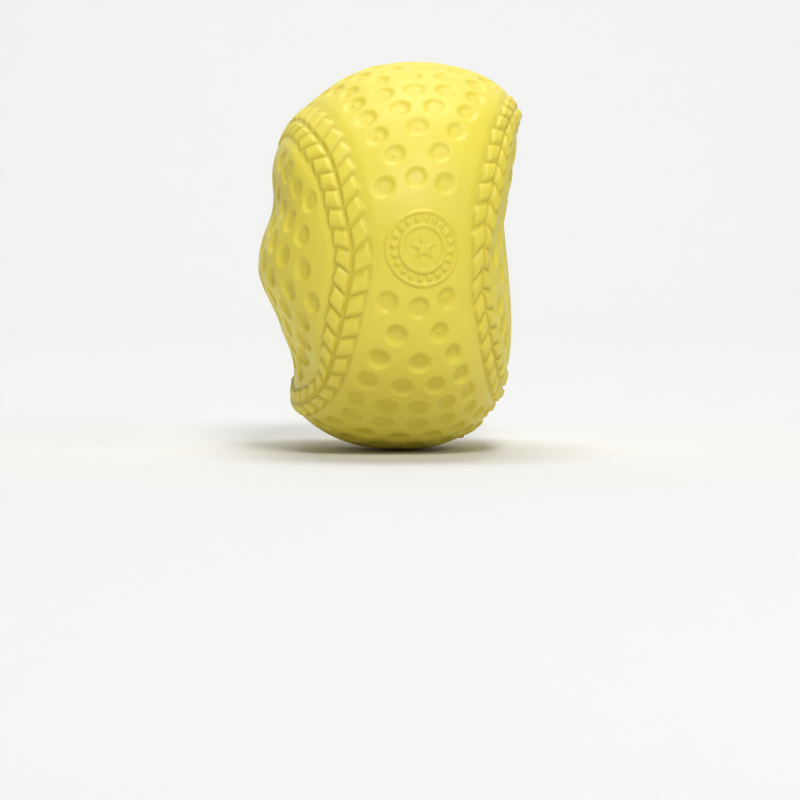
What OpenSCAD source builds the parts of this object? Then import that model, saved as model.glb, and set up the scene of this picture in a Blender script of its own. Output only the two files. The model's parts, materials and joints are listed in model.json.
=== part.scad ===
// Foam stress ball moulded like a baseball, stored in the grip that squeezes it.
// The two bodies are the finger side and the thumb side; they part along X when the grip opens.
// +X runs from the finger pad to the thumb pad, -Y is the emblem side, +Z is up.

/* [Ball] */
// Diameter of the ball when nothing presses on it
ball_d = 75; // [62:0.5:90]
// Width between the finger pad and the thumb pad in a full grip
grip_w = 48.6; // [40:0.1:58]
// Offset of the widest belt from mid-width, towards the thumb pad
belt_shift = 2; // [0:0.1:4]
// Radius of the shoulder between each pad and the belt
shoulder_r = 20; // [16:0.5:24]
// Offset of the plane between the two sides from mid-width, towards the finger pad
split_shift = 5; // [5:0.5:9]

/* [Skin and core] */
// Thickness of the dense moulded skin
skin_t = 2; // [1:0.1:4]
// Gap between the foam core and the skin half that slides away from it
core_gap = 0.3; // [0.2:0.05:0.6]

/* [Stitches] */
// Angle from the seam's narrowest place to its middle line
seam_waist = 21.8; // [19:0.2:25]
// Number of stitch pairs round the whole seam
stitch_pairs = 96; // [80:4:120]
// Length of one raised stitch
stitch_l = 3.4; // [2.8:0.1:3.6]
// Share of the stitch pitch that a raised stitch fills
stitch_fill = 0.72; // [0.5:0.02:0.8]
// Height of a stitch above the skin
stitch_h = 0.6; // [0.3:0.1:1.2]
// Slant of a stitch from square across the seam
stitch_slant = 28; // [15:1:35]
// Half the width of the groove between the two rows
groove_half = 0.35; // [0.25:0.05:0.6]

/* [Dimples] */
// Diameter of a dimple at its rim
dimple_d = 4.8; // [3:0.1:5.6]
// Depth of a dimple
dimple_depth = 0.6; // [0.3:0.1:0.9]
// Distance between dimples along a ring
dimple_pitch = 7.6; // [7:0.1:9]
// Angle of the first ring of dimples from the waist of its panel
first_ring = 19.2; // [18:0.2:22]
// Angle from one ring of dimples to the next
ring_step = 8.7; // [8:0.1:10]
// Clear distance from the seam's middle line to a dimple's centre
seam_clear = 7.4; // [6.8:0.1:9]

/* [Emblem] */
// Outer diameter of the emblem
emblem_d = 14.2; // [12:0.1:15]
// Width of the emblem's outer rim
rim_w = 0.6; // [0.4:0.1:1]
// Outer diameter of the inner ring
ring_d = 9.4; // [8:0.1:10]
// Width of the inner ring
ring_w = 0.9; // [0.5:0.1:1.2]
// Height of the emblem above the skin
emblem_h = 0.5; // [0.3:0.1:1]
// Number of rays between the ring and the rim
rays = 20; // [12:1:28]
// Width of a ray
ray_w = 0.7; // [0.5:0.1:0.9]
// Diameter over the points of the star
star_d = 5.6; // [4:0.1:6.4]

/* [Pattern placing] */
// Turn of the emblem round Z, towards the thumb
pattern_turn = 8; // [4:0.5:10]
// Tilt of the emblem upwards
pattern_tilt = 3.5; // [0:0.5:6]
// Roll of the pattern in the front view
pattern_roll = -3; // [-6:0.5:0]

/* [Mould flash] */
// Thickness of the trimmed flash at the mould parting
flash_t = 0.5; // [0.3:0.1:0.8]
// Height of the flash above the skin
flash_h = 0.5; // [0.3:0.1:1]
// Angle where the flash starts, from the thumb pad downwards
flash_start = 58; // [56:1:62]
// Angle where the flash ends
flash_end = 76; // [68:1:78]

/* [Hidden] */
$fn = 96;
skin_colour = [0.93, 0.82, 0.25];
relief_colour = [0.88, 0.76, 0.20];
foam_colour = [0.96, 0.90, 0.62];
ball_r = ball_d / 2;
reach = ball_d;             // larger than any half of the ball, for cutting
split_x = -split_shift;
finger = -1;                // sign of X on each side
thumb = 1;
front_row = -1;             // sign across the seam of each row of stitches
back_row = 1;
finger_half = grip_w / 2 + belt_shift;   // from the belt's plane to each pad
thumb_half = grip_w / 2 - belt_shift;
belt_land = 1;              // least width of round belt kept beside a shoulder
belt_over = 0.4;            // overshoot of a shoulder arc past the round ball
pad_over = 0.02;            // overshoot of a shoulder arc past its pad
curve_steps = 96;           // points used to measure a quarter of the seam
dimple_rings = 13;
dimple_sphere_r = (dimple_d * dimple_d / 4 + dimple_depth * dimple_depth) / (2 * dimple_depth);

// The gripped outline, in distances from the belt's plane and from the X axis: a flat pad, a shoulder
// arc and the round ball. Each arc overshoots the next a little, so that they cross in a soft edge.
function half_w(side) = side == finger ? finger_half : thumb_half;
function shoulder(side) = min(shoulder_r, half_w(side) - belt_land);
function shoulder_x(side) = half_w(side) - shoulder(side) + pad_over;
function pad_r(side) = sqrt(pow(ball_r - shoulder(side), 2) - pow(shoulder_x(side), 2)) + belt_over;
function land_r(side) = ball_r * unit([pad_r(side), shoulder_x(side)]).x;
function ball_x(rho) = sqrt(max(0, ball_r * ball_r - rho * rho));
function arc_x(side, rho) = rho <= pad_r(side) ? half_w(side) + pad_over :
    rho < land_r(side) ? shoulder_x(side) + sqrt(pow(shoulder(side), 2) - pow(rho - pad_r(side), 2)) : ball_r;
function profile_x(side, rho) = min(half_w(side), arc_x(side, rho), ball_x(rho));
function side_of(p) = p.x < 0 ? finger : thumb;
function rho_of(p) = norm([p.y, p.z]);
// A point on the round ball moves along X only when the ball is gripped
function gripped(p) = [belt_shift + side_of(p) * profile_x(side_of(p), rho_of(p)), p.y, p.z];
function unit(v) = v / norm(v);
function outward(p) = let (s = side_of(p), rho = rho_of(p), x = profile_x(s, rho))
    x == half_w(s) ? [s, 0, 0] :
    x == arc_x(s, rho) ? unit([s * (x - shoulder_x(s)), p.y * (1 - pad_r(s) / rho), p.z * (1 - pad_r(s) / rho)]) :
    unit(p);

// The pattern's own frame turned to its place on the ball
function about_x(a, p) = [p.x, p.y * cos(a) - p.z * sin(a), p.y * sin(a) + p.z * cos(a)];
function about_y(a, p) = [p.x * cos(a) + p.z * sin(a), p.y, p.z * cos(a) - p.x * sin(a)];
function about_z(a, p) = [p.x * cos(a) - p.y * sin(a), p.x * sin(a) + p.y * cos(a), p.z];
function placed(p) = about_z(pattern_turn, about_x(-pattern_tilt, about_y(pattern_roll, p)));

// Baseball seam: turn runs from 0 to 720 degrees round the whole loop
function seam_point(turn) = let (fall = 90 - (90 - seam_waist) * cos(turn),
                                 spin = turn / 2 + seam_waist * sin(2 * turn))
    ball_r * [sin(fall) * cos(spin), -cos(fall), sin(fall) * sin(spin)];
quarter_points = [for (i = [0:curve_steps]) seam_point(180 * i / curve_steps)];
quarter_steps = [for (i = [1:curve_steps]) norm(quarter_points[i] - quarter_points[i - 1])];
quarter_runs = [for (i = 0, run = 0; i <= curve_steps; run = run + (i < curve_steps ? quarter_steps[i] : 0), i = i + 1)
                [run, 180 * i / curve_steps]];
quarter_l = quarter_runs[curve_steps][0];
seam_l = 4 * quarter_l;
// Turn at a distance along the seam
function turn_at(run) = let (quarter = floor(run / quarter_l))
    180 * quarter + lookup(run - quarter * quarter_l, quarter_runs);
function seam_at(run) = placed(seam_point(turn_at(run)));
stitch_pitch = seam_l / stitch_pairs;
seam_points = [for (i = [0:stitch_pairs * 2 - 1]) seam_at((i + 0.25) * stitch_pitch / 2)];
function seam_distance(p) = min([for (q = seam_points) norm(p - q)]);

// Solid inside the gripped outline, grown outwards by an amount
module side_outline(side, grow) {
    s = shoulder(side);
    x = shoulder_x(side);
    r = pad_r(side);
    intersection() {
        translate([0, -reach]) square([reach, reach + half_w(side) + grow]);
        union() {
            translate([r, x]) circle(s + grow);
            translate([0, -reach]) square([r, 2 * reach]);
            polygon([[0, 0], reach * unit([r, x]), [reach, -reach], [0, -reach]]);
        }
    }
}
module gripped_ball(grow) {
    translate([belt_shift, 0, 0]) rotate([0, 90, 0]) rotate_extrude() intersection() {
        circle(ball_r + grow);
        side_outline(thumb, grow);
        mirror([0, 1]) side_outline(finger, grow);
    }
}
module side_block(side) {
    translate([split_x + side * reach / 2, 0, 0]) cube(reach * [1, 2, 2], center = true);
}
module relief(height) {
    difference() {
        intersection() {
            gripped_ball(height);
            children();
        }
        gripped_ball(0);
    }
}

// Puts a child's Z along the outward normal n and its X along the direction t
module seated(at, n, t) {
    c = unit(cross(n, t));
    a = cross(c, n);
    multmatrix([[a.x, c.x, n.x, at.x], [a.y, c.y, n.y, at.y], [a.z, c.z, n.z, at.z], [0, 0, 0, 1]]) children();
}

// Dimples lie in rings round the waist of each panel, in step about the panel's middle
function ring_angle(k) = first_ring + ring_step * k;
function ring_turn(k) = min(28.7, 2 * asin(dimple_pitch / 2 / (ball_r * sin(ring_angle(k)))));
function ring_stagger(k) = (k == 1 || k == 3 || (k > 5 && k % 2 == 0)) ? 0.5 : 0;
function panel_point(panel, angle, turn) = panel == 0 ?
    ball_r * [sin(angle) * sin(turn), -cos(angle), sin(angle) * cos(turn)] :
    ball_r * [sin(angle) * cos(turn), cos(angle), sin(angle) * sin(turn)];
dimples_on_ball = [for (panel = [0, 1], k = [0:dimple_rings - 1], lobe = [0, 180])
    let (step = ring_turn(k), most = floor(60 / step))
    for (j = [-most:most]) let (p = placed(panel_point(panel, ring_angle(k), lobe + (j + ring_stagger(k)) * step)))
    if (abs(j + ring_stagger(k)) * step < 60 && seam_distance(p) > seam_clear) p];
module dimple_cutters(side) {
    for (p = dimples_on_ball) {
        at = gripped(p) + outward(p) * (dimple_sphere_r - dimple_depth);
        if (side * (at.x - split_x) > -dimple_d / 2) translate(at) sphere(dimple_sphere_r);
    }
}

module cover(side) {
    color(skin_colour) difference() {
        intersection() {
            gripped_ball(0);
            side_block(side);
        }
        gripped_ball(-skin_t);
        dimple_cutters(side);
    }
}
module cover_finger_side() { cover(finger); }
module cover_thumb_side() { cover(thumb); }

// The thumb half of the core is slim enough for the opening of the skin that slides off it
module foam_core() {
    opening_r = sqrt(pow(ball_r - skin_t, 2) - pow(split_shift + belt_shift, 2));
    color(foam_colour) union() {
        intersection() {
            gripped_ball(-skin_t);
            side_block(finger);
        }
        intersection() {
            gripped_ball(-skin_t - core_gap);
            side_block(thumb);
            rotate([0, 90, 0]) cylinder(r = opening_r - core_gap, h = 2 * reach, center = true);
        }
    }
}

// One row of stitches. The inner corner of each stitch keeps off the seam's middle line.
module stitch_row(side, row) {
    tallest = 3 * stitch_h;
    color(relief_colour) relief(stitch_h) for (i = [0:stitch_pairs - 1]) {
        run = (i + 0.5) * stitch_pitch;
        p = seam_at(run);
        before = gripped(seam_at(run - stitch_pitch / 2));
        after = gripped(seam_at(run + stitch_pitch / 2));
        n = outward(p);
        along = unit(after - before);
        across = row * unit(cross(along, n));
        width = stitch_fill * norm(after - before) * cos(stitch_slant);
        lie = across * cos(stitch_slant) - along * sin(stitch_slant);
        inner_end = groove_half + width / 2 * sin(stitch_slant);
        at = gripped(p) + across * inner_end + lie * stitch_l / 2;
        if (side * (at.x - split_x) > stitch_l / 2)
            seated(at, n, lie) cube([stitch_l, width, 2 * tallest], center = true);
    }
}
module front_panel_stitches_finger_side() { stitch_row(finger, front_row); }
module front_panel_stitches_thumb_side() { stitch_row(thumb, front_row); }
module back_panel_stitches_finger_side() { stitch_row(finger, back_row); }
module back_panel_stitches_thumb_side() { stitch_row(thumb, back_row); }

// Everything in the emblem is cut out of one low step on the skin
module on_emblem() {
    p = placed([0, -ball_r, 0]);
    seated(gripped(p), outward(p), [1, 0, 0]) children();
}
module emblem_piece() {
    color(relief_colour) relief(emblem_h) on_emblem() children();
}
module tube(outer_d, wall, h) {
    difference() {
        cylinder(d = outer_d, h = h, center = true);
        cylinder(d = outer_d - 2 * wall, h = 2 * h, center = true);
    }
}
emblem_reach = emblem_d / 2;
module emblem_rim() { emblem_piece() tube(emblem_d, rim_w, emblem_reach); }
module emblem_ring() { emblem_piece() tube(ring_d, ring_w, emblem_reach); }
module emblem_rays() {
    space = (emblem_d - ring_d) / 2 - rim_w;
    emblem_piece() for (i = [0:rays - 1]) rotate(360 * i / rays)
        translate([ring_d / 2 + space / 2, 0, 0]) cube([space * 0.62, ray_w, emblem_reach], center = true);
}
module emblem_star() {
    points = 5;
    outer = star_d / 2;
    inner = outer * cos(360 / points) / cos(180 / points);
    emblem_piece() linear_extrude(emblem_reach, center = true)
        polygon([for (i = [0:2 * points - 1]) let (r = i % 2 == 0 ? outer : inner, a = 90 + 180 * i / points)
                 r * [cos(a), sin(a)]]);
}

// What is left of the flash where the two halves of the mould met, low on the thumb side
module mould_flash() {
    color(relief_colour) relief(flash_h) rotate([90, 0, 0])
        linear_extrude(flash_t, center = true)
        polygon([[belt_shift, 0],
                 reach * [cos(flash_start), -sin(flash_start)],
                 reach * [cos(flash_end), -sin(flash_end)]]);
}

cover_finger_side();
cover_thumb_side();
foam_core();
front_panel_stitches_finger_side();
front_panel_stitches_thumb_side();
back_panel_stitches_finger_side();
back_panel_stitches_thumb_side();
emblem_rim();
emblem_rays();
emblem_ring();
emblem_star();
mould_flash();
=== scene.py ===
import json
import math
import random

import bpy
import numpy as np
from mathutils import Matrix, Vector


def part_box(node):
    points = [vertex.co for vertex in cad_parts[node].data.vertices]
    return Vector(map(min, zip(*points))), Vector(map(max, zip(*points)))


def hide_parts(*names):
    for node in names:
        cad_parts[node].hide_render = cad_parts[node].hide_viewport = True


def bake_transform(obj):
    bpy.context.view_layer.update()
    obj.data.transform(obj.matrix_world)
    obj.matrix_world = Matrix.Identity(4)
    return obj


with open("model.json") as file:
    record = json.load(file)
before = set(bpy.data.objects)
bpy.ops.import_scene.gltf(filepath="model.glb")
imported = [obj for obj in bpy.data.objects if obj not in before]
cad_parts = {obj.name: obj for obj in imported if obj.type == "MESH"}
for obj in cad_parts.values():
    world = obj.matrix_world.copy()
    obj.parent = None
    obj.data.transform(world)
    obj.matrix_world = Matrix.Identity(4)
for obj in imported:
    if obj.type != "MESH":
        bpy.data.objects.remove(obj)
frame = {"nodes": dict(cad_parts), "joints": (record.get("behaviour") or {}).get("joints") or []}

# The trees below work in millimetres, and their last node turns them into metres
metre = 0.001
scene = bpy.context.scene
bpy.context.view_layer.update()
squeeze = frame["joints"][0]
travel = squeeze["range_m"][1]
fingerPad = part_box("cover_finger_side")[0].x
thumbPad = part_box("cover_thumb_side")[1].x
ballRadius = (thumbPad - fingerPad + travel) / 2 / metre
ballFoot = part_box("cover_thumb_side")[0].z


# A wire is one output in a node tree, and sums on wires add Math nodes to the tree
class Wire:
    def __init__(self, tree, socket):
        self.tree = tree
        self.socket = socket

    def __add__(self, other):
        return calc("ADD", self, other)

    def __radd__(self, other):
        return calc("ADD", other, self)

    def __sub__(self, other):
        return calc("SUBTRACT", self, other)

    def __rsub__(self, other):
        return calc("SUBTRACT", other, self)

    def __mul__(self, other):
        return calc("MULTIPLY", self, other)

    def __rmul__(self, other):
        return calc("MULTIPLY", other, self)

    def __truediv__(self, other):
        return calc("DIVIDE", self, other)

    def __rtruediv__(self, other):
        return calc("DIVIDE", other, self)


def feed(value, socket):
    if isinstance(value, Wire):
        value.tree.links.new(value.socket, socket)
    else:
        socket.default_value = value


def treeOf(values):
    return next(v.tree for v in values if isinstance(v, Wire))


def calc(operation, *values):
    tree = treeOf(values)
    node = tree.nodes.new("ShaderNodeMath")
    node.operation = operation
    for value, socket in zip(values, node.inputs):
        feed(value, socket)
    return Wire(tree, node.outputs[0])


def vectorCalc(operation, *values):
    tree = treeOf(values)
    node = tree.nodes.new("ShaderNodeVectorMath")
    node.operation = operation
    for value, socket in zip(values, node.inputs):
        feed(value, socket)
    single = operation in ("DOT_PRODUCT", "LENGTH", "DISTANCE")
    return Wire(tree, node.outputs["Value" if single else "Vector"])


def times(vector, factor):
    tree = treeOf((vector, factor))
    node = tree.nodes.new("ShaderNodeVectorMath")
    node.operation = "SCALE"
    feed(vector, node.inputs[0])
    feed(factor, node.inputs["Scale"])
    return Wire(tree, node.outputs[0])


def step(value, low, high):
    tree = treeOf((value, low, high))
    node = tree.nodes.new("ShaderNodeMapRange")
    node.interpolation_type = "SMOOTHSTEP"
    feed(value, node.inputs["Value"])
    feed(low, node.inputs["From Min"])
    feed(high, node.inputs["From Max"])
    return Wire(tree, node.outputs[0])


def below(value, edge, soft):
    return 1.0 - step(value, edge - soft, edge + soft)


def bell(value, middle, width):
    reach = (value - middle) / width
    return calc("POWER", math.e, reach * reach * -1.0)


def axes(vector):
    node = vector.tree.nodes.new("ShaderNodeSeparateXYZ")
    feed(vector, node.inputs[0])
    return [Wire(vector.tree, s) for s in node.outputs]


def joined(x, y, z):
    tree = treeOf((x, y, z))
    node = tree.nodes.new("ShaderNodeCombineXYZ")
    for value, socket in zip((x, y, z), node.inputs):
        feed(value, socket)
    return Wire(tree, node.outputs[0])


def noise(vector, scale, detail=2.0, rough=0.5):
    node = vector.tree.nodes.new("ShaderNodeTexNoise")
    feed(vector, node.inputs["Vector"])
    feed(scale, node.inputs["Scale"])
    node.inputs["Detail"].default_value = detail
    node.inputs["Roughness"].default_value = rough
    return Wire(vector.tree, node.outputs["Fac"])


def addNode(tree, kind, inputs=None, **settings):
    node = tree.nodes.new(kind)
    for name, value in settings.items():
        setattr(node, name, value)
    for name, value in (inputs or {}).items():
        feed(value, node.inputs[name])
    return node


socketKinds = {"float": "NodeSocketFloat", "int": "NodeSocketInt", "vector": "NodeSocketVector",
               "object": "NodeSocketObject", "material": "NodeSocketMaterial",
               "geometry": "NodeSocketGeometry"}


# A node group whose inputs are named by the keys of sizes, with their values as defaults
def newGroup(name, kind, sizes, sockets=(), outputs=()):
    tree = bpy.data.node_groups.new(name, kind)
    for key, form in sockets:
        tree.interface.new_socket(key, in_out="INPUT", socket_type=socketKinds[form])
    for key, value in sizes.items():
        form = "int" if isinstance(value, int) else "float"
        made = tree.interface.new_socket(key, in_out="INPUT", socket_type=socketKinds[form])
        made.default_value = value
    for key, form in outputs:
        tree.interface.new_socket(key, in_out="OUTPUT", socket_type=socketKinds[form])
    entry = tree.nodes.new("NodeGroupInput")
    exits = tree.nodes.new("NodeGroupOutput")
    return tree, {s.name: Wire(tree, s) for s in entry.outputs if s.name}, exits


def useGroup(tree, group, inputs):
    kind = "GeometryNodeGroup" if tree.bl_idname == "GeometryNodeTree" else "ShaderNodeGroup"
    node = addNode(tree, kind, node_tree=group)
    for name, value in inputs.items():
        feed(value, node.inputs[name])
    return {s.name: Wire(tree, s) for s in node.outputs}


def storeAs(geometry, name, value, kind="FLOAT"):
    node = addNode(geometry.tree, "GeometryNodeStoreNamedAttribute", data_type=kind, domain="POINT")
    feed(geometry, node.inputs["Geometry"])
    node.inputs["Name"].default_value = name
    feed(value, node.inputs["Value"])
    return Wire(geometry.tree, node.outputs[0])


def stored(tree, name, kind="FLOAT"):
    node = addNode(tree, "GeometryNodeInputNamedAttribute", data_type=kind)
    node.inputs["Name"].default_value = name
    return Wire(tree, node.outputs["Attribute"])


def moveTo(geometry, place=None, offset=None):
    node = addNode(geometry.tree, "GeometryNodeSetPosition", {"Geometry": geometry})
    if place is not None:
        feed(place, node.inputs["Position"])
    if offset is not None:
        feed(offset, node.inputs["Offset"])
    return Wire(geometry.tree, node.outputs[0])


# The number of the helper's point that is nearest to a place
def nearestOf(helper, place):
    node = addNode(helper.tree, "GeometryNodeSampleNearest",
                   {"Geometry": helper, "Sample Position": place}, domain="POINT")
    return Wire(helper.tree, node.outputs[0])


# What the helper's point of that number holds
def valueAt(helper, index, value, kind):
    node = addNode(helper.tree, "GeometryNodeSampleIndex", {"Geometry": helper, "Index": index},
                   data_type=kind, domain="POINT")
    feed(value, node.inputs["Value"])
    return Wire(helper.tree, node.outputs[0])


# Two helper meshes carry the line of the seam and the places of the dimples
seam = {
    "waist": 21.8,         # degrees from the waist's middle to the seam
    "pairs": 96,
    "points": 6000,
    "sparse": 20,          # every so many points are enough to keep dimples off the seam
}
dimples = {
    "pitches": (6.2, 8.7, 7.8, 6.7, 6.1, 6.5),   # along each ring; the last goes on for the rest
    "firstRing": 19.2,
    "ringStep": 8.7,
    "rings": 15,
    "seamClear": 7.4,
    "widest": 60.0,        # degrees each side of a lobe's middle
    "firstWidest": 40.0,
    "tightest": 28.7,
    "turn": -2.9,          # the dimples' own setting in the mould, in degrees
    "tilt": -1.9,
    "ventShare": 0.15,     # of the dimples that have a vent pip
    "staggered": (1, 3, 6, 8, 10, 12, 14),       # rings that are turned by half a pitch
    "seed": 7,
}


def seamPoint(turn):
    waist = math.radians(seam["waist"])
    fall = math.pi / 2 - (math.pi / 2 - waist) * math.cos(turn)
    spin = turn / 2 + waist * math.sin(2 * turn)
    out = math.sin(fall)
    return ballRadius * Vector((out * math.cos(spin), -math.cos(fall), out * math.sin(spin)))


def seamLine():
    count = seam["points"]
    wholeSeam = 4 * math.pi
    coarse = [seamPoint(wholeSeam * i / count) for i in range(count + 1)]
    runs = np.cumsum([0.0] + [(b - a).length for a, b in zip(coarse, coarse[1:])])
    evenRuns = np.arange(count) * runs[-1] / count
    turns = np.interp(evenRuns, runs, np.linspace(0, wholeSeam, count + 1))
    return [seamPoint(t) for t in turns], runs[-1]


seamPoints, seamLength = seamLine()
stitchPitch = seamLength / seam["pairs"]


def helperMesh(name, points, attributes):
    mesh = bpy.data.meshes.new(name)
    mesh.from_pydata([tuple(p) for p in points], [], [])
    for key, (kind, values) in attributes.items():
        layer = mesh.attributes.new(key, kind, "POINT")
        field = "vector" if kind == "FLOAT_VECTOR" else "value"
        layer.data.foreach_set(field, np.array(values, np.float32).ravel())
    obj = bpy.data.objects.new(name, mesh)
    scene.collection.objects.link(obj)
    obj.hide_render = True
    return obj


def makeSeamHelper():
    count = len(seamPoints)
    headings = [(seamPoints[(i + 1) % count] - seamPoints[i - 1]).normalized() for i in range(count)]
    runs = [seamLength * i / count for i in range(count)]
    return helperMesh("seamLine", seamPoints,
                      {"heading": ("FLOAT_VECTOR", headings), "run": ("FLOAT", runs)})


# A dimple's place on one of the two panels, which lie a quarter turn from each other
def onPanel(panel, angle, turn):
    along = math.sin(angle) * math.sin(turn)
    across = math.sin(angle) * math.cos(turn)
    height = math.cos(angle)
    return Vector((along, -height, across)) if panel == 0 else Vector((across, height, along))


def dimplePlaces():
    near = np.array(seamPoints[::seam["sparse"]])
    setting = (Matrix.Rotation(math.radians(dimples["turn"]), 3, "Z")
               @ Matrix.Rotation(math.radians(dimples["tilt"]), 3, "X"))
    places = []
    for panel in (0, 1):
        for ring in range(dimples["rings"]):
            angle = math.radians(dimples["firstRing"] + dimples["ringStep"] * ring)
            width = ballRadius * math.sin(angle)
            pitch = dimples["pitches"][min(ring, len(dimples["pitches"]) - 1)]
            gap = min(dimples["tightest"], math.degrees(2 * math.asin(pitch / 2 / width)))
            stagger = 0.5 if ring in dimples["staggered"] else 0.0
            widest = dimples["widest"] if ring else dimples["firstWidest"]
            most = int(widest / gap)
            for lobe in (0, 180):
                for j in range(-most, most + 1):
                    if abs(j + stagger) * gap >= widest:
                        continue
                    turn = math.radians(lobe + (j + stagger) * gap)
                    p = setting @ onPanel(panel, angle, turn) * ballRadius
                    if np.linalg.norm(near - np.array(p), axis=1).min() > dimples["seamClear"]:
                        places.append(p)
    return places


seamHelper = makeSeamHelper()
places = dimplePlaces()
chance = random.Random(dimples["seed"])
vents = [1.0 if chance.random() < dimples["ventShare"] else 0.0 for _ in places]
dimpleHelper = helperMesh("dimplePlaces", places, {"vent": ("FLOAT", vents)})
print("seam", round(seamLength, 1), "mm long,", len(places), "dimples,", int(sum(vents)), "vents")


# How the grip moves each point of the round ball along X, in millimetres
grip = {
    "beltShift": 2.2,      # of the round ball's middle
    "softness": 27.7,      # the smaller, the flatter the two sides
    "sideBlend": 2.0,      # each way from the middle, where one side's rule turns into the other's
    "topLean": 3.0,
    "leanStartZ": 5.0,
    "leanEndZ": 32.0,
    "wrapStartY": -36.0,   # the fingers reach round the front as far as this
    "wrapFullY": -22.0,
    "wrapStartX": 8.0,
    "wrapFullX": 24.0,
    "fingerSwell": 2.9,    # the foam that stands out between the fingers
    "swellFootZ": -13.0,
    "swellFullZ": -2.0,
    "swellFadeZ": 24.0,
    "swellTopZ": 34.0,
    "middleFinger": 2.3,
    "middleFingerZ": 9.5,
    "middleFingerWidth": 6.0,
    "ringFinger": 2.1,
    "ringFingerZ": -20.0,
    "ringFingerWidth": 6.5,
    "indexFinger": 2.5,
    "indexFingerZ": 33.5,
    "indexFingerFullZ": 37.0,
    "lowRidge": 1.2,       # between the last two fingers
    "lowRidgeZ": -29.0,
    "lowRidgeWidth": 4.0,
    "thumbDent": 3.0,
    "thumbFootZ": -26.0,
    "thumbFullZ": 12.0,
    "thumbTopZ": 25.5,
    "thumbMiddleY": -3.0,
    "thumbRound": 32.0,    # radius of the thumb's tip, as it prints into the foam
    "thumbEdge": 1.6,
    "thumbEdgeSpread": 0.16,
    "thumbDentY": -2.0,
    "thumbDentWidth": 30.0,
    "thumbStartX": 4.0,
    "thumbFullX": 20.0,
    "thumbBulge": 0.7,     # the foam that stands up over the thumb's tip
    "bulgeStartZ": 24.0,
    "bulgeFullZ": 28.0,
    "palmPress": 1.0,
}


def makeGripGroup():
    tree, size, exits = newGroup("gripShape", "GeometryNodeTree", grip, [("Place", "vector")],
                                 [("Rest", "vector"), ("Give", "float")])
    x, y, z = axes(size["Place"])
    reach = calc("ABSOLUTE", x)
    side = calc("SIGN", x)
    onThumb = step(x, size["sideBlend"] * -1.0, size["sideBlend"])
    flat = size["softness"] * calc("TANH", reach / size["softness"])
    lean = size["topLean"] * step(z, size["leanStartZ"], size["leanEndZ"])
    # The finger side is swollen between the fingers, with a groove under each
    wrap = (step(y, size["wrapStartY"], size["wrapFullY"])
            * step(reach, size["wrapStartX"], size["wrapFullX"]))
    swell = (size["fingerSwell"] * step(z, size["swellFootZ"], size["swellFullZ"])
             * (1.0 - step(z, size["swellFadeZ"], size["swellTopZ"])))
    fingers = (size["middleFinger"] * bell(z, size["middleFingerZ"], size["middleFingerWidth"])
               + size["ringFinger"] * bell(z, size["ringFingerZ"], size["ringFingerWidth"])
               + size["indexFinger"] * step(z, size["indexFingerZ"], size["indexFingerFullZ"])
               - size["lowRidge"] * bell(z, size["lowRidgeZ"], size["lowRidgeWidth"]))
    fingerDent = (fingers - swell) * wrap
    # The thumb side has one long dent with a sharp, round upper end
    aside = calc("ABSOLUTE", y - size["thumbMiddleY"])
    top = size["thumbTopZ"] - aside * aside / size["thumbRound"]
    edge = size["thumbEdge"] + aside * size["thumbEdgeSpread"]
    thumb = size["thumbDent"] * step(z, size["thumbFootZ"], size["thumbFullZ"]) * below(z, top, edge)
    palm = size["palmPress"] * below(z, top, edge)
    bulge = size["thumbBulge"] * step(z, size["bulgeStartZ"], size["bulgeFullZ"])
    thumbDent = ((thumb * bell(y, size["thumbDentY"], size["thumbDentWidth"]) + palm - bulge)
                 * step(reach, size["thumbStartX"], size["thumbFullX"]))
    dent = fingerDent * (1.0 - onThumb) + thumbDent * onThumb
    restX = size["beltShift"] + lean + side * (flat - dent)
    feed(joined(restX, y, z), exits.inputs["Rest"])
    feed(x - restX, exits.inputs["Give"])
    return tree


gripGroup = makeGripGroup()

# How far the moulded pattern stands out at each place of the round ball, in millimetres
moulding = {
    "stitchPitch": stitchPitch,
    "stitchLength": 4.1,
    "stitchFill": 0.95,
    "stitchHeight": 0.7,
    "stitchUneven": 0.22,
    "stitchSlant": 28.0,
    "stitchSquare": 0.6,   # 1 cuts the outer ends square to the stitch, 0 along the seam
    "stitchCrown": 3.5,    # the higher, the flatter the top of a stitch
    "stitchInnerSoft": 0.55,
    "stitchOuterSoft": 0.8,
    "stitchOuterEdge": 0.1,
    "stitchCalmZ": 8.0,    # from here up to the next height, the stretch lowers the stitches
    "stitchCalmTopZ": 26.0,
    "grooveHalf": 0.3,
    "grooveSoft": 0.2,
    "seamSink": 0.22,
    "sinkInside": 0.4,     # the sunk band ends this far inside and outside the stitches' ends
    "sinkOutside": 1.6,
    "dimpleRadius": 2.45,
    "dimpleDepth": 0.74,
    "dimpleFloor": 0.5,    # share of the radius that is flat, and where the lip runs out
    "dimpleLip": 1.03,
    "topSmooth": 0.38,     # share of the relief that the stretch at the top takes away
    "dimpleCalmZ": -4.0,
    "dimpleCalmTopZ": 14.0,
    "ventTop": 0.1,
    "ventRadius": 0.42,
    "ventHeight": 0.2,
    # the painted shade of the grooves reaches this far inside and outside the stitches' outer ends
    "gapShadeInside": 0.6,
    "gapShadeOutside": 0.2,
    # painted shade in the dimple bowls, as a share of that in the grooves
    "dimpleShade": 0.4,
    "emblemSlip": -0.5,
    "emblemHeight": 0.5,
    "emblemRadius": 7.1,
    "emblemSoft": 0.14,
    "emblemSink": 0.12,
    "emblemSinkSoft": 0.2,
    "rimWidth": 0.6,
    "ringRadius": 4.7,
    "ringWidth": 0.9,
    "rays": 20.0,
    "rayWidth": 0.75,
    "rayShare": 0.31,      # half a ray's length, as a share of the space between ring and rim
    "starRadius": 2.8,
    "starSoft": 0.35,
    "starEdge": 0.1,
}


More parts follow.
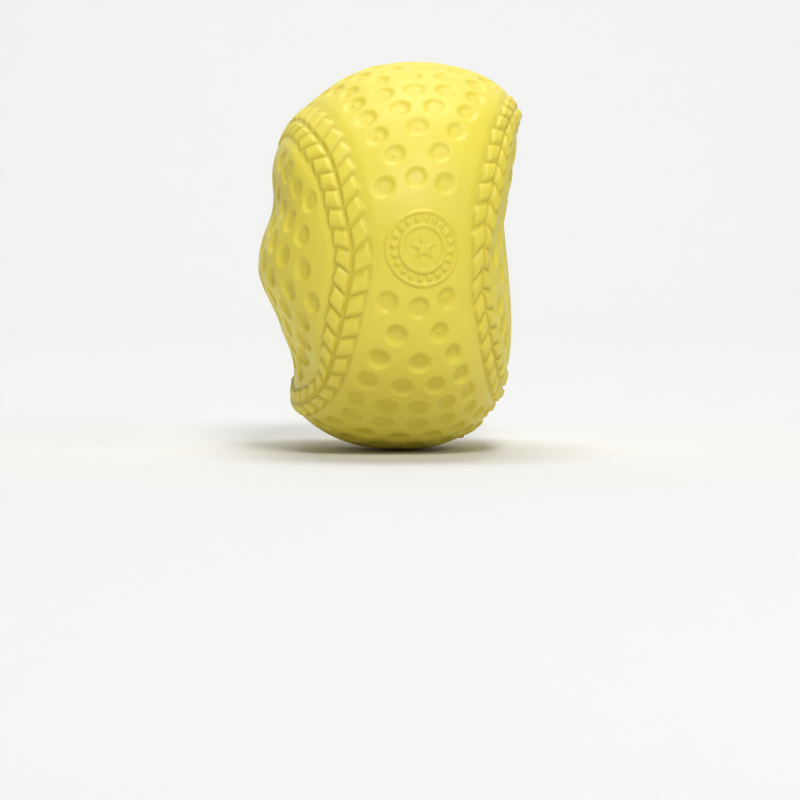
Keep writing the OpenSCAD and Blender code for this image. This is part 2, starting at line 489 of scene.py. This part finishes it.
def emblemHeight(size, x, z):
    out = calc("SQRT", x * x + z * z)
    soft = size["emblemSoft"]

    def hoop(radius, width):
        return below(calc("ABSOLUTE", out - (radius - width / 2.0)), width / 2.0, soft)

    turn = calc("ARCTAN2", x, z)
    wholeTurns = 100.0     # keeps what goes into Fraction above zero
    beat = calc("FRACT", turn * size["rays"] / math.tau + wholeTurns) - 0.5
    fromRay = calc("ABSOLUTE", beat) * out * math.tau / size["rays"]
    rimInside = size["emblemRadius"] - size["rimWidth"]
    rayMiddle = (size["ringRadius"] + rimInside) / 2.0
    rayHalf = (rimInside - size["ringRadius"]) * size["rayShare"]
    rays = (below(fromRay, size["rayWidth"] / 2.0, soft)
            * below(calc("ABSOLUTE", out - rayMiddle), rayHalf, soft))
    # A five-pointed star, folded into one half of one point
    fifth = math.tau / 5
    folded = calc("ABSOLUTE", (calc("FRACT", turn / fifth + wholeTurns + 0.5) - 0.5) * fifth)
    inner = math.cos(fifth) / math.cos(fifth / 2)
    edge = Vector((inner * math.cos(fifth / 2) - 1, inner * math.sin(fifth / 2))).normalized()
    past = ((out * calc("COSINE", folded) - size["starRadius"]) * edge.y
            - out * calc("SINE", folded) * edge.x)
    star = 1.0 - step(past, size["starSoft"] * -1.0, size["starEdge"])
    hoops = calc("MAXIMUM", hoop(size["emblemRadius"], size["rimWidth"]),
                 hoop(size["ringRadius"], size["ringWidth"]))
    raised = calc("MAXIMUM", hoops, calc("MAXIMUM", rays, star))
    floor = below(out, size["emblemRadius"] - size["rimWidth"] / 2.0, size["emblemSinkSoft"])
    return raised * size["emblemHeight"] - floor * size["emblemSink"]


# Besides the relief's height, the group puts out a mask of painted shade for the grooves and dimple
# bowls
def makeMouldingGroup():
    tree, size, exits = newGroup("mouldedPattern", "GeometryNodeTree", moulding,
                                 [("Place", "vector"), ("Seam", "geometry"), ("Dimples", "geometry")],
                                 [("Height", "float"), ("HollowShade", "float")])
    place = size["Place"]
    x, y, z = axes(place)
    position = Wire(tree, tree.nodes.new("GeometryNodeInputPosition").outputs[0])
    index = nearestOf(size["Seam"], place)
    middle = valueAt(size["Seam"], index, position, "FLOAT_VECTOR")
    heading = valueAt(size["Seam"], index, stored(tree, "heading", "FLOAT_VECTOR"), "FLOAT_VECTOR")
    run = valueAt(size["Seam"], index, stored(tree, "run"), "FLOAT")
    off = vectorCalc("SUBTRACT", place, middle)
    across = vectorCalc("CROSS_PRODUCT", heading, vectorCalc("NORMALIZE", place))
    away = calc("ABSOLUTE", vectorCalc("DOT_PRODUCT", off, across))
    slant = calc("RADIANS", size["stitchSlant"])
    along = run + vectorCalc("DOT_PRODUCT", off, heading) + away * calc("TANGENT", slant)
    beat = along / size["stitchPitch"]
    fromMiddle = calc("FRACT", beat) - 0.5
    # Each stitch is a small pillow with a slanting outer end
    edge = calc("ABSOLUTE", fromMiddle) * 2.0 / size["stitchFill"]
    pillow = calc("MAXIMUM", 1.0 - calc("POWER", edge, size["stitchCrown"]), 0.0)
    cut = fromMiddle * size["stitchPitch"] * calc("SINE", slant) * size["stitchSquare"]
    length = away / calc("COSINE", slant) - cut
    groove = size["grooveHalf"]
    outer = groove + size["stitchLength"]
    starts = step(away, groove - size["grooveSoft"], groove + size["stitchInnerSoft"])
    row = starts * (1.0 - step(length, outer - size["stitchOuterSoft"], outer + size["stitchOuterEdge"]))
    own = addNode(tree, "ShaderNodeTexWhiteNoise", {"W": calc("FLOOR", beat)}, noise_dimensions="1D")
    tall = size["stitchHeight"] * (1.0 + (Wire(tree, own.outputs["Value"]) - 0.5) * size["stitchUneven"])
    calm = 1.0 - size["topSmooth"] * step(z, size["stitchCalmZ"], size["stitchCalmTopZ"])
    stitches = pillow * row * tall * calm
    band = 1.0 - step(away, outer - size["sinkInside"], outer + size["sinkOutside"])
    sink = band * size["seamSink"]
    dimpleIndex = nearestOf(size["Dimples"], place)
    dimple = valueAt(size["Dimples"], dimpleIndex, position, "FLOAT_VECTOR")
    out = vectorCalc("DISTANCE", place, dimple)
    slack = 1.0 - size["topSmooth"] * step(z, size["dimpleCalmZ"], size["dimpleCalmTopZ"])
    dip = 1.0 - step(out / size["dimpleRadius"], size["dimpleFloor"], size["dimpleLip"])
    bowl = dip * size["dimpleDepth"] * slack
    vent = (valueAt(size["Dimples"], dimpleIndex, stored(tree, "vent"), "FLOAT")
            * (1.0 - step(out, size["ventTop"], size["ventRadius"])) * size["ventHeight"])
    emblem = emblemHeight(size, x - size["emblemSlip"], z) * calc("LESS_THAN", y, 0.0)
    feed(stitches - sink - bowl + vent + emblem, exits.inputs["Height"])
    # Painted shade: this mask darkens the skin in the grooves between and beside the stitches and in the
    # dimple bowls
    gapShade = ((1.0 - pillow * row)
            * (1.0 - step(away, outer - size["gapShadeInside"], outer + size["gapShadeOutside"])))
    feed(calc("MAXIMUM", gapShade, bowl / size["dimpleDepth"] * size["dimpleShade"]), exits.inputs["HollowShade"])
    return tree


mouldingGroup = makeMouldingGroup()
print("grip and moulded pattern are node groups with", len(grip), "and", len(moulding), "sizes")

skin = {
    "divisions": 240,
    "wall": 2.0,
    "wallDivisions": 48,
    "unevenness": 0.09,
    "unevenScale": 0.09,
}
# The trimmed flash on the mould's parting, whose angles go round the ball from the thumb's side
flash = {
    "height": 0.55,
    "width": 0.42,
    "widthSoft": 0.25,
    "from": -74.0,
    "to": -38.0,
    "fade": 8.0,
    "line": 0.05,          # what is left of it all the way round
    "wander": 0.6,
    "wanderScale": 0.12,
    "tornScale": 0.35,
    "tornLow": 0.34,
    "tornHigh": 0.62,
}

# Where the moulded pattern sits on the ball, in degrees, as the part has it
pattern = {"turn": 8.0, "tilt": 3.5, "roll": -3.0}
placing = (Matrix.Rotation(math.radians(pattern["turn"]), 3, "Z")
           @ Matrix.Rotation(math.radians(-pattern["tilt"]), 3, "X")
           @ Matrix.Rotation(math.radians(pattern["roll"]), 3, "Y"))

core = {
    "divisions": 56,
    "inset": 2.1,
    "cellSize": 1.4,
    "cellDepth": 0.12,
}


# A ball of six even patches, in millimetres, with its round place kept on each point
def roundBall(tree, divisions, radius):
    cube = addNode(tree, "GeometryNodeMeshCube", {"Size": (2.0, 2.0, 2.0)})
    for name in ("Vertices X", "Vertices Y", "Vertices Z"):
        feed(divisions, cube.inputs[name])
    position = Wire(tree, tree.nodes.new("GeometryNodeInputPosition").outputs[0])
    even = joined(*[calc("TANGENT", a * (math.pi / 4)) for a in axes(position)])
    ball = moveTo(Wire(tree, cube.outputs["Mesh"]), times(vectorCalc("NORMALIZE", even), radius))
    return storeAs(ball, "roundPlace", position, "FLOAT_VECTOR")


def gripped(ball):
    tree = ball.tree
    rest = useGroup(tree, gripGroup, {"Place": stored(tree, "roundPlace", "FLOAT_VECTOR")})
    ball = storeAs(ball, "give", rest["Give"])
    return moveTo(ball, rest["Rest"])


def pushedOut(ball, height):
    normal = Wire(ball.tree, ball.tree.nodes.new("GeometryNodeInputNormal").outputs[0])
    return moveTo(ball, offset=times(normal, height))


def finishTree(ball, exits, material):
    tree = ball.tree
    smooth = addNode(tree, "GeometryNodeSetShadeSmooth", {"Geometry": ball})
    whole = addNode(tree, "GeometryNodeRealizeInstances", {"Geometry": Wire(tree, smooth.outputs[0])})
    sized = addNode(tree, "GeometryNodeTransform", {"Geometry": Wire(tree, whole.outputs[0]),
                                                    "Scale": (metre, metre, metre)})
    coloured = addNode(tree, "GeometryNodeSetMaterial", {"Geometry": Wire(tree, sized.outputs[0]),
                                                         "Material": material})
    feed(Wire(tree, coloured.outputs[0]), exits.inputs["Geometry"])


def flashHeight(size, place):
    x, y, z = axes(place)
    angle = calc("DEGREES", calc("ARCTAN2", z, x))
    ragged = noise(place, size["tornScale"], detail=3.0, rough=0.6)
    along = (step(angle, size["from"], size["from"] + size["fade"])
             * (1.0 - step(angle, size["to"] - size["fade"], size["to"])))
    wander = (noise(place, size["wanderScale"]) - 0.5) * size["wander"]
    ridge = below(calc("ABSOLUTE", y + wander), size["width"], size["widthSoft"])
    torn = step(ragged, size["tornLow"], size["tornHigh"])
    return ridge * (size["line"] + along * size["height"] * torn)


def makeSkinTree():
    tree, size, exits = newGroup("mouldedSkin", "GeometryNodeTree",
                                 {"ballRadius": ballRadius, **skin, **flash},
                                 [("seam", "object"), ("dimples", "object"), ("material", "material")],
                                 [("Geometry", "geometry")])
    ball = roundBall(tree, size["divisions"], size["ballRadius"])
    place = stored(tree, "roundPlace", "FLOAT_VECTOR")
    turned = joined(*[vectorCalc("DOT_PRODUCT", place, axis) for axis in placing.col])
    lines = addNode(tree, "GeometryNodeObjectInfo", {"Object": size["seam"]})
    dots = addNode(tree, "GeometryNodeObjectInfo", {"Object": size["dimples"]})
    relief = useGroup(tree, mouldingGroup,
                      {"Place": turned, "Seam": Wire(tree, lines.outputs["Geometry"]),
                       "Dimples": Wire(tree, dots.outputs["Geometry"])})
    uneven = (noise(place, size["unevenScale"]) - 0.5) * size["unevenness"] * 2.0
    # The mask of painted shade for grooves and dimples is kept on each point for the skin's colour
    ball = storeAs(ball, "hollowShade", relief["HollowShade"])
    ball = storeAs(ball, "height", relief["Height"] + uneven + flashHeight(size, place))
    outside = pushedOut(gripped(ball), stored(tree, "height"))
    inner = gripped(roundBall(tree, size["wallDivisions"], size["ballRadius"]))
    wall = pushedOut(inner, size["wall"] * -1.0)
    inside = Wire(tree, addNode(tree, "GeometryNodeFlipFaces", {"Mesh": wall}).outputs[0])
    both = tree.nodes.new("GeometryNodeJoinGeometry")
    tree.links.new(outside.socket, both.inputs[0])
    tree.links.new(inside.socket, both.inputs[0])
    finishTree(Wire(tree, both.outputs[0]), exits, size["material"])
    return tree


def makeCoreTree():
    tree, size, exits = newGroup("foamCore", "GeometryNodeTree", {"ballRadius": ballRadius, **core},
                                 [("material", "material")], [("Geometry", "geometry")])
    ball = gripped(roundBall(tree, size["divisions"], size["ballRadius"]))
    place = stored(tree, "roundPlace", "FLOAT_VECTOR")
    cells = addNode(tree, "ShaderNodeTexVoronoi",
                    {"Vector": place, "Scale": 1.0 / size["cellSize"]}, feature="SMOOTH_F1")
    depth = Wire(tree, cells.outputs["Distance"]) * size["cellDepth"]
    finishTree(pushedOut(ball, (size["inset"] + depth) * -1.0), exits, size["material"])
    return tree


# Runs a tree on an empty mesh and keeps the plain mesh that comes out
def grown(name, tree, values):
    obj = bpy.data.objects.new(name, bpy.data.meshes.new(name))
    scene.collection.objects.link(obj)
    modifier = obj.modifiers.new("moulding", "NODES")
    modifier.node_group = tree
    for item in tree.interface.items_tree:
        if item.item_type == "SOCKET" and item.in_out == "INPUT" and item.name in values:
            modifier[item.identifier] = values[item.name]
    bpy.context.view_layer.update()
    graph = bpy.context.evaluated_depsgraph_get()
    mesh = bpy.data.meshes.new_from_object(obj.evaluated_get(graph), preserve_all_data_layers=True,
                                           depsgraph=graph)
    mesh.name = name
    obj.modifiers.remove(modifier)
    obj.data = mesh
    return obj


def newMaterial(name):
    material = bpy.data.materials.new(name)
    material.use_nodes = True
    shader = next(n for n in material.node_tree.nodes if n.type == "BSDF_PRINCIPLED")
    return material, shader


grain = {"driftScale": 60.0, "poreScale": 2200.0}


# Slow drifts in tone and fine pores, for anything moulded in this foam
def makeFoamGrain():
    tree, size, exits = newGroup("foamGrain", "ShaderNodeTree", grain, [("Place", "vector")],
                                 [("Drift", "float"), ("Pores", "float")])
    feed(noise(size["Place"], size["driftScale"], detail=3.0, rough=0.55), exits.inputs["Drift"])
    feed(noise(size["Place"], size["poreScale"], detail=2.0, rough=0.6), exits.inputs["Pores"])
    return tree


foamGrain = makeFoamGrain()


# A Mix node has its A, B and Result once for each kind of value, so the colours go by number
def mixColour(tree, factor, a, b):
    node = addNode(tree, "ShaderNodeMix", data_type="RGBA")
    for number, value in ((0, factor), (6, a), (7, b)):
        feed(value, node.inputs[number])
    return Wire(tree, node.outputs[2])


def bumpFrom(height, strength, distance):
    node = addNode(height.tree, "ShaderNodeBump",
                   {"Height": height, "Strength": strength, "Distance": distance})
    return Wire(height.tree, node.outputs[0])


skinLook = {
    "tone": (0.84, 0.72, 0.085, 1.0),
    "warm": (0.79, 0.65, 0.065, 1.0),
    # The gap colour is painted shade for the grooves and dimple bowls
    "gap": (0.62, 0.49, 0.035, 1.0),
    "gapShadeStrength": 0.6,
    "roughness": 0.46,
    "roughnessDrift": 0.12,
    "roughnessPores": 0.1,
    "poreStrength": 0.25,
    "poreDepth": 0.00008,
    "softGlow": 0.12,
    "glowColours": (1.0, 0.7, 0.15),
    "glowDepth": 0.002,
    "shine": 0.42,
}


def makeSkinMaterial():
    material, shader = newMaterial("yellowSkin")
    tree = material.node_tree
    place = Wire(tree, addNode(tree, "ShaderNodeTexCoord").outputs["Object"])
    hollowShade = Wire(tree, addNode(tree, "ShaderNodeAttribute", attribute_name="hollowShade").outputs["Fac"])
    foam = useGroup(tree, foamGrain, {"Place": place})
    tone = mixColour(tree, foam["Drift"], skinLook["tone"], skinLook["warm"])
    # Painted shade: the colour goes towards the gap colour where the stored mask marks grooves and
    # dimples
    feed(mixColour(tree, hollowShade * skinLook["gapShadeStrength"], tone, skinLook["gap"]),
         shader.inputs["Base Color"])
    feed(skinLook["roughness"] + (foam["Drift"] - 0.5) * skinLook["roughnessDrift"]
         + (foam["Pores"] - 0.5) * skinLook["roughnessPores"], shader.inputs["Roughness"])
    feed(bumpFrom(foam["Pores"], skinLook["poreStrength"], skinLook["poreDepth"]),
         shader.inputs["Normal"])
    shader.inputs["Subsurface Weight"].default_value = skinLook["softGlow"]
    shader.inputs["Subsurface Radius"].default_value = skinLook["glowColours"]
    shader.inputs["Subsurface Scale"].default_value = skinLook["glowDepth"]
    shader.inputs["Specular IOR Level"].default_value = skinLook["shine"]
    return material


coreLook = {
    "tone": (0.90, 0.78, 0.30, 1.0),
    "cell": (0.72, 0.58, 0.16, 1.0),
    "poreScale": 900.0,
    "roughness": 0.85,
    "roughnessDrift": 0.1,
    "poreStrength": 0.6,
    "poreDepth": 0.0004,
}


def makeCoreMaterial():
    material, shader = newMaterial("foamInside")
    tree = material.node_tree
    place = Wire(tree, addNode(tree, "ShaderNodeTexCoord").outputs["Object"])
    foam = useGroup(tree, foamGrain, {"Place": place, "poreScale": coreLook["poreScale"]})
    feed(mixColour(tree, foam["Pores"], coreLook["tone"], coreLook["cell"]), shader.inputs["Base Color"])
    feed(coreLook["roughness"] + (foam["Drift"] - 0.5) * coreLook["roughnessDrift"],
         shader.inputs["Roughness"])
    feed(bumpFrom(foam["Pores"], coreLook["poreStrength"], coreLook["poreDepth"]),
         shader.inputs["Normal"])
    return material


skinMaterial = makeSkinMaterial()
coreMaterial = makeCoreMaterial()
ballSkin = grown("moulded_skin", makeSkinTree(), {"seam": seamHelper, "dimples": dimpleHelper,
                                                   "material": skinMaterial})
ballCore = grown("foam_inside", makeCoreTree(), {"material": coreMaterial})
print("skin", len(ballSkin.data.polygons), "faces, core", len(ballCore.data.polygons), "faces")
for helper in (seamHelper, dimpleHelper):
    bpy.data.objects.remove(helper)


def valuesOf(obj, name):
    values = np.empty(len(obj.data.vertices), np.float32)
    obj.data.attributes[name].data.foreach_get("value", values)
    return values


# Bakes the object's placing into its mesh, prints the range of each point's share of the grip's give,
# and takes off the helper attributes
def releases(obj, least, most):
    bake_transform(obj)
    share = (valuesOf(obj, "give") - least) / most
    print(obj.name, "gives from", round(float(share.min()), 3), "to", round(float(share.max()), 3))
    for name in ("give", "roundPlace", "height"):
        layer = obj.data.attributes.get(name)
        if layer:
            obj.data.attributes.remove(layer)


gives = valuesOf(ballSkin, "give")
giveRange = max(travel / metre, float(gives.max() - gives.min()))
for obj, slot in ((ballSkin, "skin"), (ballCore, "foam")):
    releases(obj, gives.min(), giveRange)
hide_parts(*[n for n in frame["nodes"] if n != "foam_core"])
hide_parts("foam_core")


stage = {
    "front": -1.2,
    "back": 0.55,
    "half": 1.6,
    "cove": 0.35,
    "coveSteps": 12,
    "height": 1.6,
    "paper": (0.74, 0.74, 0.735, 1.0),
    "roughness": 0.9,
}


def makePaper():
    material, shader = newMaterial("palePaper")
    shader.inputs["Base Color"].default_value = stage["paper"]
    shader.inputs["Roughness"].default_value = stage["roughness"]
    return material


def makeStage():
    profile = [(stage["front"], 0.0), (stage["back"], 0.0)]
    for i in range(1, stage["coveSteps"] + 1):
        angle = math.pi / 2 * i / stage["coveSteps"]
        profile.append((stage["back"] + stage["cove"] * math.sin(angle),
                        stage["cove"] * (1 - math.cos(angle))))
    profile.append((profile[-1][0], stage["height"]))
    points = [(side * stage["half"], y, ballFoot + z) for y, z in profile for side in (-1, 1)]
    faces = [(2 * i, 2 * i + 1, 2 * i + 3, 2 * i + 2) for i in range(len(profile) - 1)]
    mesh = bpy.data.meshes.new("paleFloor")
    mesh.from_pydata(points, [], faces)
    mesh.shade_smooth()
    mesh.materials.append(makePaper())
    floor = bpy.data.objects.new("paleFloor", mesh)
    scene.collection.objects.link(floor)


# Each light has its place, what it aims at, its width in metres and its power in watts
lights = {
    "keyLight": ((0.12, -0.74, 0.74), (0, 0, 0), 0.28, 5.6),
    "frontLight": ((0.7, -0.7, 0.6), (0, 0, 0), 0.4, 1.3),
    "fillLight": ((-0.8, -0.7, 0.35), (0, 0, 0), 0.9, 0.5),
    "backdropLight": ((0, 0.25, 1.2), (0, 0.9, 0.25), 0.8, 12),
}
roomLight = 0.17


def makeLight(name, place, aim, width, power):
    light = bpy.data.lights.new(name, "AREA")
    light.shape = "DISK"
    light.size = width
    light.energy = power
    obj = bpy.data.objects.new(name, light)
    scene.collection.objects.link(obj)
    obj.location = place
    obj.rotation_euler = (Vector(aim) - Vector(place)).to_track_quat("-Z", "Y").to_euler()


view = {
    "distance": 0.9,
    "width": 0.1552,       # how wide the view is at the ball
    "aimX": 0.0025,        # what the camera looks at, from the ball's own middle
    "aimZ": -0.0279,
    "elevation": 3.0,
    "sensor": 36.0,
}


def makeCamera():
    camera = bpy.data.cameras.new("camera")
    camera.sensor_width = view["sensor"]
    camera.lens = camera.sensor_width * view["distance"] / view["width"]
    obj = bpy.data.objects.new("camera", camera)
    scene.collection.objects.link(obj)
    lift = math.radians(view["elevation"])
    aim = Vector((view["aimX"], 0, view["aimZ"]))
    obj.location = aim + view["distance"] * Vector((0, -math.cos(lift), math.sin(lift)))
    obj.rotation_euler = (aim - obj.location).to_track_quat("-Z", "Y").to_euler()
    scene.camera = obj


def makeRoom():
    world = bpy.data.worlds.new("studio")
    world.use_nodes = True
    background = world.node_tree.nodes["Background"]
    background.inputs["Color"].default_value = (1, 1, 1, 1)
    background.inputs["Strength"].default_value = roomLight
    scene.world = world


makeStage()
for lightName, values in lights.items():
    makeLight(lightName, *values)
makeCamera()
makeRoom()
scene.view_settings.view_transform = "Standard"
print("floor, camera and", len(lights), "lights are set")
